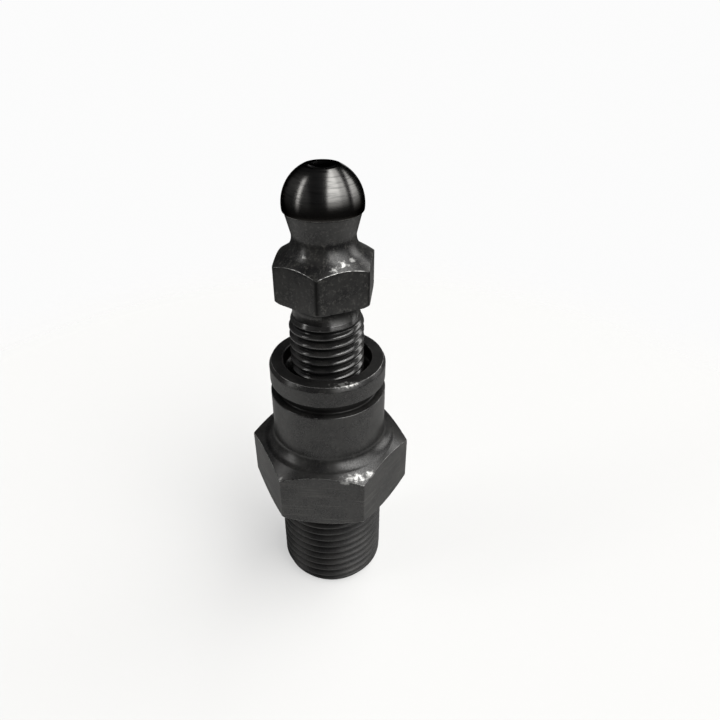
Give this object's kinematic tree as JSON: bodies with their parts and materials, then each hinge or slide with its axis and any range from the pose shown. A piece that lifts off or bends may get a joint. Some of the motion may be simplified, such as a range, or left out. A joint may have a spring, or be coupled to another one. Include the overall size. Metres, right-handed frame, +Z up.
{
  "type": "adjustable ball stud",
  "caption": "Ball stud with its own hexagon and coarse thread, screwed into a hexagonal body with a grooved collar and a finer thread on its lower end.",
  "frame": {"origin": "centre of the body's flat lower end, on the common axis", "axes": "+Z up along the common axis of the body and the stud, from the threaded end to the ball; -Y is the front, where the picture was taken from"},
  "size_m": [0.0366, 0.0342, 0.1029],
  "materials": {
    "body_steel": "blackened, satin with fine turning and grinding marks, bright where its edges have worn",
    "stud_steel": "blackened, oily thread, ball polished to a dark mirror"
  },
  "bodies": {
    "body": {"hex_body": "body_steel"},
    "stud": {"ball_stud": "stud_steel"}
  },
  "joints": [
    {"name": "stud_adjust", "type": "slide", "parent": "body", "child": "stud", "axis": [0, 0, 1], "range_m": [-0.015, 0.006]}
  ]
}
